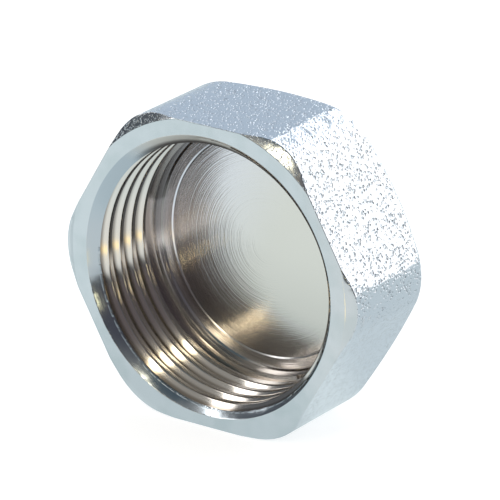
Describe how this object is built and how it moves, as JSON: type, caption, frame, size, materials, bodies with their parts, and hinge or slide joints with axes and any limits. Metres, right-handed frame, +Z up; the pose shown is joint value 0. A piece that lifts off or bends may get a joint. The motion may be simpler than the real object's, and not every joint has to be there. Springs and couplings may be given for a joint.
{
  "type": "threaded pipe cap",
  "caption": "Hexagonal pipe cap with rounded corners: an internal pipe thread behind a flat mouth ring, a relief groove and a closed, domed back.",
  "frame": {"origin": "on the ground, under the middle of the cap, which lies on one of its six flats", "axes": "+Z up; the cap's axis is level and its open mouth faces -Y; +X runs across the corners"},
  "size_m": [0.0318, 0.014, 0.029],
  "materials": {
    "plated_brass": "bright plating over forged brass: peened flats, turned mouth ring, thread and bore"
  },
  "bodies": {
    "root": {"cap_body": "plated_brass"}
  },
  "joints": []
}
